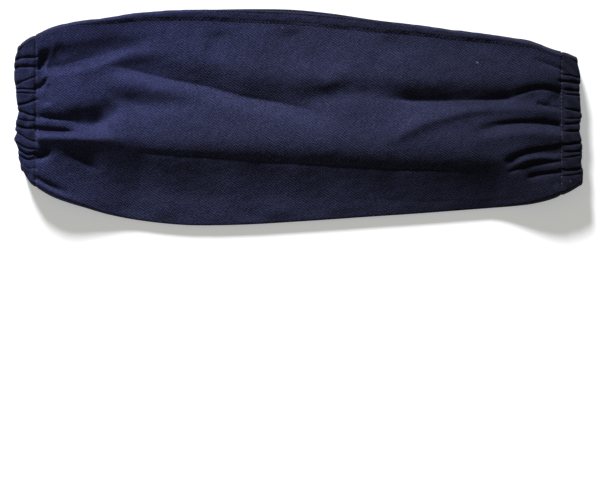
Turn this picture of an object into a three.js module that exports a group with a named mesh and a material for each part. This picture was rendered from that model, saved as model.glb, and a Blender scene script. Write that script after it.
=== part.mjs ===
// A welding sleeve of flame-resistant cotton twill, laid flat on its underside.
//
// Millimetres, +Z up. X runs along the arm, from the bicep mouth (-X) to the wrist mouth (+X).
// Y runs across the laid sleeve, with the side seam at +Y. The underside lies at Z = 0.
// The sleeve is a closed ring of cloth at every place along X: an upper layer, a rolled edge,
// a lower layer that lies flat, and the other rolled edge.

import * as THREE from 'three';

// Driving dimensions of the sleeve
const sleeveLength = 457;
const flatWidth = 173.5;
const clothThickness = 1.0;
const bodyRoll = 4.2;
const crownRise = 9.5;
const foldDepth = 5.0;

// Driving dimensions of the elastic bands
const elasticWidth = 9.5;
const elasticThickness = 1.2;

// Driving dimensions of the hems at the two mouths. The hem's ease is its width beside the band.
const hemEase = 8;
const armClearance = 7.4;
const gatherDepth = 2.2;
const gatherPitch = 10.5;
const settleLength = 85;

// Driving dimensions of the felled side seam
const seamWidth = 10;
const seamThickness = 1.0;

// Clearance between pieces that touch
const clearance = 0.3;

// How finely each piece is divided
const tubeStations = 23;
const tubeSpots = { upper: 36, roll: 4, lower: 10 };
const hemSpots = { upper: 42, roll: 3, lower: 34 };
const bandSpots = { upper: 10, roll: 5, lower: 8 };
const seamSpots = 5;
const foldSteps = 10;
const endCrowding = 0.5;

// Sizes that follow from the driving dimensions
const hemWidth = elasticWidth + hemEase;
const stitchLine = sleeveLength / 2 - hemWidth;
const hemThickness = gatherDepth + 2 * clothThickness + elasticThickness + 2 * clearance;
const hemRoll = hemThickness + armClearance / 2;
const hemFold = hemEase * 0.2;
const mouthSlant = hemEase * 0.5;
const mouthWave = hemEase * 0.16;
const seamStandoff = clearance * 1.6;
const undersideReach = settleLength * 0.3;

// The shares of the way across between which the folds fade in at the seam and out again
const foldsStart = [0.03, 0.13];
const foldsEnd = [0.93, 1.0];

// The outline seen from above. along: share of the length from the bicep mouth. upper and lower:
// distance of the two long edges from the middle line, as shares of the flat width.
const outlineColumns = ['along', 'upper', 'lower'];
const outline = rows(outlineColumns, [
  [0.000, 0.312, 0.239],
  [0.006, 0.335, 0.262],
  [0.023, 0.363, 0.309],
  [0.039, 0.379, 0.330],
  [0.065, 0.409, 0.370],
  [0.093, 0.428, 0.398],
  [0.122, 0.442, 0.421],
  [0.164, 0.456, 0.453],
  [0.220, 0.479, 0.481],
  [0.291, 0.492, 0.501],
  [0.347, 0.497, 0.504],
  [0.418, 0.500, 0.499],
  [0.489, 0.497, 0.488],
  [0.559, 0.479, 0.476],
  [0.630, 0.451, 0.463],
  [0.700, 0.428, 0.451],
  [0.771, 0.400, 0.437],
  [0.841, 0.377, 0.423],
  [0.884, 0.358, 0.414],
  [0.912, 0.344, 0.405],
  [0.940, 0.316, 0.388],
  [0.959, 0.302, 0.370],
  [0.979, 0.292, 0.347],
  [1.000, 0.274, 0.314],
]);

// How the upper layer lies between its edges. across: share of the way from the upper long edge
// to the lower one. rise: share of the crown's rise.
const lie = rows(['across', 'rise'], [
  [0.00, 0.00],
  [0.08, 0.03],
  [0.20, 0.32],
  [0.35, 0.72],
  [0.48, 0.90],
  [0.62, 0.88],
  [0.72, 0.60],
  [0.82, 0.22],
  [0.92, 0.03],
  [1.00, 0.00],
]);

// The folds of the upper layer, one row each: a curve through three places, its rise as a share
// of the fold depth (ridges up, valleys down), its half width on either side as shares of the
// flat width, and the shares of its path over which it fades in and out.
const foldColumns = [
  'name', 'along0', 'across0', 'along1', 'across1', 'along2', 'across2',
  'rise', 'widthUp', 'widthDown', 'fadeIn', 'fadeOut',
];
const folds = rows(foldColumns, [
  ['crown', 0.03, 0.70, 0.41, 0.62, 0.96, 0.61, 1.00, 0.150, 0.086, 0.05, 0.10],
  ['crown_fall', 0.17, 0.68, 0.50, 0.72, 0.89, 0.81, -0.52, 0.058, 0.092, 0.15, 0.10],
  ['long_valley', 0.15, 0.22, 0.36, 0.37, 0.59, 0.51, -0.98, 0.110, 0.048, 0.15, 0.25],
  ['bicep_ridge', 0.14, 0.31, 0.27, 0.38, 0.45, 0.48, 0.42, 0.046, 0.058, 0.20, 0.40],
  ['bicep_valley', 0.15, 0.48, 0.24, 0.42, 0.41, 0.45, -0.40, 0.046, 0.052, 0.15, 0.40],
  ['upper_pit', 0.070, 0.09, 0.060, 0.16, 0.050, 0.23, -1.20, 0.028, 0.028, 0.20, 0.20],
  ['upper_pleat', 0.05, 0.23, 0.14, 0.23, 0.29, 0.13, -0.66, 0.069, 0.024, 0.05, 0.35],
  ['upper_ridge', 0.14, 0.25, 0.20, 0.22, 0.31, 0.21, 0.30, 0.040, 0.046, 0.30, 0.50],
  ['bicep_puff', 0.04, 0.37, 0.10, 0.38, 0.20, 0.37, 0.62, 0.080, 0.095, 0.30, 0.50],
  ['bicep_pleat', 0.02, 0.63, 0.06, 0.62, 0.13, 0.59, -0.62, 0.024, 0.020, 0.10, 0.40],
  ['cross_hollow', 0.15, 0.37, 0.16, 0.48, 0.15, 0.60, -0.50, 0.035, 0.046, 0.40, 0.40],
  ['low_ridge', 0.04, 0.69, 0.12, 0.64, 0.24, 0.60, 0.46, 0.030, 0.028, 0.10, 0.50],
  ['lower_pit', 0.050, 0.78, 0.058, 0.76, 0.072, 0.73, -1.30, 0.034, 0.034, 0.25, 0.30],
  ['lower_pleat', 0.08, 0.69, 0.11, 0.75, 0.17, 0.77, -0.60, 0.026, 0.024, 0.20, 0.40],
  ['middle_ridge', 0.53, 0.37, 0.56, 0.28, 0.60, 0.17, 0.30, 0.046, 0.040, 0.40, 0.50],
  ['middle_dip', 0.55, 0.42, 0.60, 0.38, 0.66, 0.35, -0.30, 0.052, 0.052, 0.40, 0.40],
  ['wrist_valley', 0.59, 0.40, 0.77, 0.35, 0.99, 0.31, -0.88, 0.066, 0.040, 0.35, 0.05],
  ['wrist_diagonal', 0.65, 0.64, 0.72, 0.51, 0.86, 0.43, 0.50, 0.050, 0.045, 0.35, 0.40],
  ['wrist_ridge', 0.76, 0.47, 0.86, 0.44, 0.98, 0.43, 0.36, 0.035, 0.030, 0.35, 0.10],
  ['wrist_pleat', 0.79, 0.55, 0.87, 0.50, 0.98, 0.51, -0.72, 0.034, 0.030, 0.30, 0.10],
  ['low_wrist_pleat', 0.85, 0.74, 0.90, 0.67, 0.98, 0.70, -0.95, 0.030, 0.026, 0.30, 0.10],
  ['last_wrist_pleat', 0.86, 0.83, 0.91, 0.79, 0.98, 0.82, -0.60, 0.024, 0.022, 0.30, 0.10],
]);

// The gathers seen on the upper side of each hem. atStitch and atMouth: share of the way across.
// depth: share of the gather depth. width: half width as a share of the gather pitch.
// reach: share of the settle length over which the groove runs on into the body.
const gatherColumns = ['atStitch', 'atMouth', 'depth', 'width', 'reach'];
const bicepGathers = rows(gatherColumns, [
  [0.05, 0.04, 0.60, 0.26, 0.30],
  [0.14, 0.12, 0.90, 0.26, 0.35],
  [0.22, 0.21, 0.80, 0.24, 0.30],
  [0.30, 0.32, 0.90, 0.28, 0.40],
  [0.39, 0.42, 0.85, 0.26, 0.40],
  [0.49, 0.52, 0.90, 0.26, 0.45],
  [0.59, 0.62, 1.00, 0.25, 0.50],
  [0.68, 0.72, 0.90, 0.25, 0.45],
  [0.78, 0.81, 1.00, 0.28, 0.35],
  [0.87, 0.89, 0.85, 0.25, 0.30],
  [0.95, 0.96, 0.60, 0.24, 0.25],
]);
const wristGathers = rows(gatherColumns, [
  [0.05, 0.05, 0.60, 0.26, 0.25],
  [0.13, 0.14, 0.85, 0.26, 0.35],
  [0.22, 0.23, 0.80, 0.25, 0.30],
  [0.31, 0.32, 1.00, 0.28, 0.45],
  [0.40, 0.43, 0.85, 0.26, 0.40],
  [0.50, 0.51, 1.00, 0.26, 0.45],
  [0.58, 0.60, 0.80, 0.25, 0.35],
  [0.67, 0.70, 1.00, 0.27, 0.45],
  [0.76, 0.79, 0.90, 0.26, 0.45],
  [0.85, 0.87, 0.85, 0.25, 0.35],
  [0.94, 0.95, 0.60, 0.24, 0.25],
]);

// Where the seam's inner edge lies. inset: distance over the cloth from the outermost line of the
// upper long edge, as a share of the seam width.
const seamCourse = rows(['along', 'inset'], [
  [0.03, 0.45],
  [0.08, 0.50],
  [0.15, 0.72],
  [0.22, 0.92],
  [0.33, 1.10],
  [0.43, 1.30],
  [0.54, 1.24],
  [0.64, 1.02],
  [0.75, 0.86],
  [0.86, 0.82],
  [0.97, 0.80],
]);

// Turns a table's rows into objects with named columns.
function rows(columns, values) {
  return values.map((row) => Object.fromEntries(columns.map((name, i) => [name, row[i]])));
}

// A smooth step from 0 to 1 between two places.
function ease(from, to, at) {
  const t = Math.min(1, Math.max(0, (at - from) / (to - from)));
  return t * t * (3 - 2 * t);
}

// Reads a column of a table at a place of its key column, with smooth slopes through the rows.
function read(table, key, column, at) {
  const last = table.length - 1;
  const found = table.findIndex((row) => row[key] >= at);
  const i = Math.max(1, found === -1 ? last : found);
  const slope = (k) => {
    const before = table[Math.max(0, k - 1)];
    const after = table[Math.min(last, k + 1)];
    return (after[column] - before[column]) / (after[key] - before[key]);
  };
  const span = table[i][key] - table[i - 1][key];
  const t = Math.min(1, Math.max(0, (at - table[i - 1][key]) / span));
  const start = table[i - 1][column] * (1 + 2 * t) * (1 - t) ** 2 + slope(i - 1) * span * t * (1 - t) ** 2;
  const end = table[i][column] * t * t * (3 - 2 * t) - slope(i) * span * t * t * (1 - t);
  return start + end;
}

// Where X lies between the two mouths, as a share of the length.
function alongAt(x) {
  return x / sleeveLength + 0.5;
}

// The flat section of the sleeve at X: its two long edges in Y and the radius they roll with.
function sectionAt(x) {
  const along = alongAt(x);
  const settled = ease(stitchLine + hemWidth / 4, stitchLine - settleLength, Math.abs(x));
  return {
    top: read(outline, 'along', 'upper', along) * flatWidth,
    bottom: -read(outline, 'along', 'lower', along) * flatWidth,
    roll: THREE.MathUtils.lerp(hemRoll, bodyRoll, settled),
    settled,
  };
}

// The path of a fold in millimetres, as short straight steps along its curve.
function foldPath(fold) {
  const place = (along, across) => {
    const x = (along - 0.5) * sleeveLength;
    const { top, bottom } = sectionAt(x);
    return new THREE.Vector2(x, THREE.MathUtils.lerp(top, bottom, across));
  };
  const start = place(fold.along0, fold.across0);
  const middle = place(fold.along1, fold.across1);
  const end = place(fold.along2, fold.across2);
  const handle = middle.clone().multiplyScalar(2).sub(start.clone().add(end).multiplyScalar(0.5));
  return new THREE.QuadraticBezierCurve(start, handle, end).getPoints(foldSteps);
}

const foldPaths = folds.map(foldPath);

// How far one fold lifts the cloth at a place seen from above.
function foldRise(fold, path, x, y) {
  let nearest = Infinity;
  let side = 1;
  let share = 0;
  for (let i = 0; i < foldSteps; i++) {
    const dx = path[i + 1].x - path[i].x;
    const dy = path[i + 1].y - path[i].y;
    const reached = ((x - path[i].x) * dx + (y - path[i].y) * dy) / (dx * dx + dy * dy);
    const t = Math.min(1, Math.max(0, reached));
    const offX = x - path[i].x - t * dx;
    const offY = y - path[i].y - t * dy;
    const distance = Math.hypot(offX, offY);
    if (distance < nearest) {
      nearest = distance;
      side = offY;
      share = (i + t) / foldSteps;
    }
  }
  const width = (side > 0 ? fold.widthUp : fold.widthDown) * flatWidth;
  const fade = ease(0, fold.fadeIn, share) * (1 - ease(1 - fold.fadeOut, 1, share));
  return fold.rise * foldDepth * fade * Math.exp(-((nearest / width) ** 2));
}

// The lift of the upper layer over its two rolled edges. across is measured between them.
function upperRise(x, y, section) {
  const { top, bottom, roll } = section;
  const across = (top - roll - y) / (top - bottom - 2 * roll);
  const fromStitch = stitchLine - Math.abs(x);
  const clearOfEnds = ease(0, hemWidth / 2, fromStitch);
  const clearOfEdges = ease(...foldsStart, across) * (1 - ease(...foldsEnd, across));
  const folded = folds.reduce((sum, fold, i) => sum + foldRise(fold, foldPaths[i], x, y), 0);
  const lying = read(lie, 'across', 'rise', across) * crownRise * section.settled;
  return lying + folded * clearOfEnds * clearOfEdges;
}

// How deep the gathers press into the cloth at X, on the upper or the lower layer.
function gatherAt(x, layer, across) {
  const table = x < 0 ? bicepGathers : wristGathers;
  const fromStitch = stitchLine - Math.abs(x);
  const toMouth = Math.min(1, Math.max(0, -fromStitch / hemWidth));
  const section = sectionAt(x);
  const width = section.top - section.bottom;
  if (layer === 'lower') {
    const count = Math.round((width - 2 * section.roll) / gatherPitch);
    const fade = 1 - ease(0, undersideReach, fromStitch);
    return gatherDepth * fade * Math.sin(Math.PI * count * across) ** 4;
  }
  const pressed = table.reduce((sum, row) => {
    const centre = THREE.MathUtils.lerp(row.atStitch, row.atMouth, toMouth);
    const distance = (across - centre) * width / (row.width * gatherPitch);
    const fade = 1 - ease(0, row.reach * settleLength, fromStitch);
    return sum + row.depth * fade * Math.exp(-distance * distance);
  }, 0);
  return gatherDepth * Math.min(1, pressed);
}

// The places round one ring: over the upper layer, round the near edge, under the lower layer
// and round the far edge. across is measured between the rolled edges' centres.
function ringSpots({ upper, roll, lower }) {
  const flat = (layer, count, across) => Array.from({ length: count }, (_, i) => ({
    layer,
    across: across(i / (count - 1)),
  }));
  const upperSpots = flat('upper', upper, (share) => share);
  const lowerSpots = flat('lower', lower, (share) => 1 - share);
  const turn = (edge, from) => Array.from({ length: roll }, (_, i) => ({
    layer: 'edge',
    edge,
    angle: from + edge * Math.PI * (i + 1) / (roll + 1),
  }));
  const nearEdge = turn(-1, Math.PI / 2);
  const farEdge = turn(1, -Math.PI / 2);
  return [...upperSpots, ...nearEdge, ...lowerSpots, ...farEdge];
}

// A point of the smooth outer face of the ring, before the gathers press it in.
function smoothPoint(x, spot) {
  const section = sectionAt(x);
  const { top, bottom, roll } = section;
  if (spot.layer === 'edge') {
    const centre = spot.edge > 0 ? top - roll : bottom + roll;
    const out = spot.edge * roll * Math.cos(spot.angle);
    return new THREE.Vector2(centre + out, roll * (1 + Math.sin(spot.angle)));
  }
  const y = THREE.MathUtils.lerp(top - roll, bottom + roll, spot.across);
  if (spot.layer === 'lower') {
    return new THREE.Vector2(y, 0);
  }
  return new THREE.Vector2(y, 2 * roll + upperRise(x, y, section));
}

// Moves a closed loop of section points inward, each by its own depth along the loop's normal.
function pressIn(loop, depths) {
  return loop.map((point, i) => {
    const before = loop[(i + loop.length - 1) % loop.length];
    const after = loop[(i + 1) % loop.length];
    const along = after.clone().sub(before).normalize();
    return new THREE.Vector2(point.x - along.y * depths[i], point.y + along.x * depths[i]);
  });
}

// The smooth ring at X, moved inward by one depth all round.
function smoothLoop(x, spots, depth) {
  return pressIn(spots.map((spot) => smoothPoint(x, spot)), spots.map(() => depth));
}

// The outer face of the cloth at X, with the gathers pressed in.
function clothLoop(x, spots) {
  const loop = spots.map((spot) => smoothPoint(x, spot));
  const depths = spots.map((spot) => (spot.layer === 'edge' ? 0 : gatherAt(x, spot.layer, spot.across)));
  return pressIn(loop, depths);
}

// A loop of section points as 3-D points, at one X or at an X of its own for each point.
function ringOf(loop, x) {
  return loop.map((point, i) => new THREE.Vector3(typeof x === 'number' ? x : x[i], point.x, point.y));
}

// A closed skin over rings of points, each joined to the next and the last to the first.
function closedSkin(rings) {
  const around = rings[0].length;
  const indices = [];
  rings.forEach((ring, i) => {
    const next = (i + 1) % rings.length;
    ring.forEach((_, j) => {
      const a = i * around + j;
      const b = i * around + (j + 1) % around;
      const c = next * around + (j + 1) % around;
      const d = next * around + j;
      indices.push(a, b, c, a, c, d);
    });
  });
  return skin(rings.flat(), indices);
}

// A skin over sections of points, each joined to the next and closed with a cap at both ends.
function cappedSkin(sections) {
  const around = sections[0].length;
  const indices = [];
  for (let i = 0; i < sections.length - 1; i++) {
    for (let j = 0; j < around; j++) {
      const a = i * around + j;
      const b = i * around + (j + 1) % around;
      indices.push(a, b, b + around, a, b + around, a + around);
    }
  }
  const last = (sections.length - 1) * around;
  for (let j = 0; j < around / 2 - 1; j++) {
    const far = around - 1 - j;
    indices.push(j, far, j + 1, j + 1, far, far - 1);
    indices.push(last + j, last + j + 1, last + far, last + j + 1, last + far - 1, last + far);
  }
  return skin(sections.flat(), indices);
}

// An indexed geometry with smooth normals.
function skin(points, indices) {
  const geometry = new THREE.BufferGeometry().setFromPoints(points);
  geometry.setIndex(indices);
  geometry.computeVertexNormals();
  return geometry;
}

// The places along the tube from stitch line to stitch line, closer together near its ends.
function stations() {
  const reach = stitchLine - clearance / 2;
  return Array.from({ length: tubeStations }, (_, i) => {
    const t = i / (tubeStations - 1);
    return reach * (2 * t - 1 - endCrowding * Math.sin(2 * Math.PI * t) / Math.PI);
  });
}

// The tube of cloth between the two stitch lines.
function sleeveTube() {
  const spots = ringSpots(tubeSpots);
  const outer = [];
  const inner = [];
  for (const x of stations()) {
    const loop = clothLoop(x, spots);
    outer.push(ringOf(loop, x));
    inner.unshift(ringOf(pressIn(loop, loop.map(() => clothThickness)), x));
  }
  return closedSkin([...outer, ...inner]);
}

// The turned hem at one mouth: outer leg, fold and inner leg round the elastic's channel.
function hemCasing(end) {
  const spots = ringSpots(hemSpots);
  const mouthX = (spot) => {
    const across = spot.layer === 'edge' ? (1 - spot.edge) / 2 : spot.across;
    const slant = end > 0 ? mouthSlant * (1 - across) : 0;
    const pressed = spot.layer === 'edge' ? 0 : gatherAt(end * sleeveLength / 2, spot.layer, across);
    return sleeveLength / 2 - slant - mouthWave * pressed / gatherDepth;
  };
  const start = stitchLine + clearance / 2;
  const { lerp } = THREE.MathUtils;
  const place = (share, short) => spots.map((spot) => end * lerp(start, mouthX(spot) - short, share));
  const sectionX = (share) => end * lerp(start, sleeveLength / 2 - hemFold, share);
  const outerAt = (share) => clothLoop(sectionX(share), spots);
  const innerAt = (share, depth) => smoothLoop(sectionX(share), spots, depth);
  const cloth = (loop) => pressIn(loop, loop.map(() => clothThickness));
  const middle = hemThickness / 2;
  const channelDepth = hemThickness - clothThickness;
  const channelEnd = hemFold + clothThickness / 4;
  const profile = [
    ringOf(outerAt(0), place(0, 0)),
    ringOf(outerAt(0.5), place(0.5, hemFold)),
    ringOf(outerAt(1), place(1, hemFold)),
    ringOf(innerAt(1, middle), place(1, 0)),
    ringOf(innerAt(1, hemThickness), place(1, hemFold)),
    ringOf(innerAt(0, hemThickness), place(0, 0)),
    ringOf(innerAt(0, channelDepth), place(0, 0)),
    ringOf(innerAt(1, channelDepth), place(1, channelEnd)),
    ringOf(innerAt(1, middle), place(1, clothThickness)),
    ringOf(cloth(outerAt(1)), place(1, channelEnd)),
    ringOf(cloth(outerAt(0.5)), place(0.5, hemFold)),
    ringOf(cloth(outerAt(0)), place(0, 0)),
  ];
  return closedSkin(end > 0 ? profile : profile.reverse());
}

// The elastic band that lies in a hem's channel.
function elasticBand(end) {
  const spots = ringSpots(bandSpots);
  const outside = gatherDepth + clothThickness + clearance;
  const inside = outside + elasticThickness;
  const near = end * (stitchLine + clearance);
  const far = end * (stitchLine + clearance + elasticWidth);
  const band = (x, depth) => ringOf(smoothLoop(x, spots, depth), x);
  const rings = [band(near, outside), band(far, outside), band(far, inside), band(near, inside)];
  return closedSkin(end > 0 ? rings : rings.reverse());
}

// A point over the cloth near the upper long edge, at a distance from its outermost line.
function edgePoint(x, inset, lift) {
  const section = sectionAt(x);
  const { top, roll } = section;
  const angle = Math.min(Math.PI / 2, inset / roll);
  const onward = Math.max(0, inset - roll * Math.PI / 2);
  const y = top - roll + (roll + lift) * Math.cos(angle) - onward;
  const rise = onward > 0 ? upperRise(x, y, section) : 0;
  return new THREE.Vector3(x, y, roll + (roll + lift) * Math.sin(angle) + rise);
}

// The felled seam: a flat strip laid over the tube along the upper long edge.
function sideSeam() {
  const sections = [];
  for (const x of stations()) {
    const inner = read(seamCourse, 'along', 'inset', alongAt(x)) * seamWidth;
    const insets = Array.from({ length: seamSpots }, (_, k) => inner - seamWidth * (1 - k / (seamSpots - 1)));
    const upperFace = insets.map((inset) => edgePoint(x, inset, seamStandoff + seamThickness));
    const lowerFace = insets.map((inset) => edgePoint(x, inset, seamStandoff)).reverse();
    sections.push([...upperFace, ...lowerFace]);
  }
  return cappedSkin(sections);
}

// A matte material of cloth or elastic.
function matte(name, color, roughness) {
  return new THREE.MeshStandardMaterial({ name, color, roughness, metalness: 0 });
}

const navyTwill = matte('navy_twill', '#222337', 0.92);
const hemTwill = matte('hem_twill', '#212235', 0.92);
const seamTwill = matte('seam_twill', '#232438', 0.92);
const wovenElastic = matte('woven_elastic', '#d1cfc7', 0.8);

const sleeve = new THREE.Group();
const pieces = [
  ['sleeve_tube', sleeveTube(), navyTwill],
  ['bicep_casing', hemCasing(-1), hemTwill],
  ['wrist_casing', hemCasing(1), hemTwill],
  ['bicep_elastic', elasticBand(-1), wovenElastic],
  ['wrist_elastic', elasticBand(1), wovenElastic],
  ['side_seam', sideSeam(), seamTwill],
];
for (const [name, geometry, material] of pieces) {
  const mesh = new THREE.Mesh(geometry, material);
  mesh.name = name;
  sleeve.add(mesh);
}

export default sleeve;
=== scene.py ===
"""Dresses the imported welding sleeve: navy twill, laid flat on a pale floor, seen from above.

Every length in the tables is in millimetres or a share of a named size. Blender's objects are in
metres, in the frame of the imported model: X along the arm, Y across the laid sleeve, Z up.
"""

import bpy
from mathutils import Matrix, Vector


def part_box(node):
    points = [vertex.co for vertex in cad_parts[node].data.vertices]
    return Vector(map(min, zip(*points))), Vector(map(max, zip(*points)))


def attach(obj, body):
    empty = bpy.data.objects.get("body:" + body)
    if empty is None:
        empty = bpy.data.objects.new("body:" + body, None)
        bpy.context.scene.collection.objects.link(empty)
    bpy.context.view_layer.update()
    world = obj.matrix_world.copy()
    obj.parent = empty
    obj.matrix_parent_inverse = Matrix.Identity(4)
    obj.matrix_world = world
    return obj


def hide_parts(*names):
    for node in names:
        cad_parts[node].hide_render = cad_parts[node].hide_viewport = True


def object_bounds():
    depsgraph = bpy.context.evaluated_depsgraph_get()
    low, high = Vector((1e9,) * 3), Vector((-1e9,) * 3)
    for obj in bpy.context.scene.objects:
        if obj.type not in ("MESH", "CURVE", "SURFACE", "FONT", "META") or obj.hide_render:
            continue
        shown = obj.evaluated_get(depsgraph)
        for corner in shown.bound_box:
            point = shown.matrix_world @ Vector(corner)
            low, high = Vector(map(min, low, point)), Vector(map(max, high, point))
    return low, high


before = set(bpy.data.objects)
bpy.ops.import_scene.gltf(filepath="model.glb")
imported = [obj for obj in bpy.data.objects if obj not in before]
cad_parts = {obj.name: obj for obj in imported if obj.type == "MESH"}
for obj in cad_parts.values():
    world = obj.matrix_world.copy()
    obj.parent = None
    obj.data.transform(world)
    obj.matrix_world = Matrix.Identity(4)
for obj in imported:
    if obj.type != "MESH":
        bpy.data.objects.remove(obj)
CAD_BOX = [list(corner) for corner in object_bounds()]

import logging
import math
from dataclasses import dataclass, field
from enum import Enum
from typing import Any

import bpy
import numpy as np
from mathutils import Vector

LOG = logging.getLogger("welding_sleeve")
Array = np.ndarray
Tree = bpy.types.NodeTree
Socket = bpy.types.NodeSocket
Pair = tuple[float, float]
MM = 0.001
BODY = "root"
CLOTH_PLACE = "cloth_place"
WHITE = (1.0, 1.0, 1.0, 1.0)

# The wave texture turns this many radians over one unit at a scale of 1.
WAVE_TURN = 20

# The numbers of the colour mixing node's two colour inputs and of its colour output.
MIX_FIRST = 6
MIX_SECOND = 7
MIX_RESULT = 2

PHOTO_WIDTH_PX = 600
PHOTO_HEIGHT_PX = 487
MM_PER_PX = 0.806
SLEEVE_MIDDLE_PX = (298.5, 116.75)


class FoldKind(Enum):
    """How a fold's flanks run away from its line."""

    ROUND = "round"
    CREASE = "crease"


class Side(Enum):
    """Which end of the sleeve a hem belongs to."""

    BICEP = -1
    WRIST = 1


class Layer(Enum):
    """The stretches of cloth round one ring of the sleeve."""

    UPPER = 0
    NEAR_EDGE = 1
    LOWER = 2
    FAR_EDGE = 3


@dataclass(frozen=True)
class Fold:
    """One fold of the upper layer, along a curve through three places.

    The places are shares of the length and of the way across. The rise is a share of the fold
    depth, the two half widths are shares of the flat width, and the fades are shares of the path.
    """

    name: str
    kind: FoldKind
    along: tuple[float, float, float]
    across: tuple[float, float, float]
    rise: float
    width_up: float
    width_down: float
    fade_in: float
    fade_out: float


@dataclass(frozen=True)
class Gather:
    """One groove of a hem: where it crosses the stitch line and the mouth, how deep, how wide."""

    at_stitch: float
    at_mouth: float
    depth: float
    width: float
    reach: float


@dataclass(frozen=True)
class Swell:
    """Seeded smooth waves of one height and mean length, in millimetres.

    The crowding says how much closer the waves lie along the sleeve and across it.
    """

    height: float
    wavelength: float
    seed: int
    crowding: tuple[float, float] = (1.0, 1.0)

    def at(self, x: Array, y: Array) -> Array:
        """The waves' height at each place, along the sleeve and across it."""
        along, across = self.crowding
        return self.height * ripple(x * along, y * across, self.wavelength, self.seed)


# The outline seen from above: share of the length from the bicep mouth, then the distances of the
# seam's edge and of the other edge from the middle line as shares of the flat width.
OUTLINE = (
    (0.000, 0.312, 0.239),
    (0.006, 0.335, 0.262),
    (0.023, 0.363, 0.309),
    (0.039, 0.379, 0.330),
    (0.065, 0.409, 0.370),
    (0.093, 0.428, 0.398),
    (0.122, 0.442, 0.421),
    (0.164, 0.456, 0.453),
    (0.220, 0.479, 0.481),
    (0.291, 0.492, 0.501),
    (0.347, 0.497, 0.504),
    (0.418, 0.500, 0.499),
    (0.489, 0.497, 0.488),
    (0.559, 0.479, 0.476),
    (0.630, 0.451, 0.463),
    (0.700, 0.428, 0.451),
    (0.771, 0.400, 0.437),
    (0.841, 0.377, 0.423),
    (0.884, 0.358, 0.414),
    (0.912, 0.344, 0.405),
    (0.940, 0.316, 0.388),
    (0.959, 0.302, 0.370),
    (0.979, 0.292, 0.347),
    (1.000, 0.274, 0.314),
)

# How the upper layer lies between its edges: share of the way across, share of the crown's rise.
LIE = (
    (0.00, 0.00),
    (0.06, -0.02),
    (0.20, 0.24),
    (0.32, 0.50),
    (0.42, 0.58),
    (0.50, 0.72),
    (0.58, 0.93),
    (0.63, 1.00),
    (0.67, 0.95),
    (0.73, 0.68),
    (0.79, 0.40),
    (0.87, 0.13),
    (0.94, 0.06),
    (1.00, 0.00),
)

# Where the crown's lower fall ends: share of the length, share of the way across. The table above
# has it at FALL_AT, and the lie is stretched to meet this line.
FALL_AT = 0.87
FALL_LINE = (
    (0.00, 0.84),
    (0.20, 0.85),
    (0.33, 0.86),
    (0.50, 0.88),
    (0.63, 0.91),
    (0.75, 0.94),
    (0.88, 0.96),
    (1.00, 0.96),
)

ROUND, CREASE = FoldKind.ROUND, FoldKind.CREASE

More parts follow.
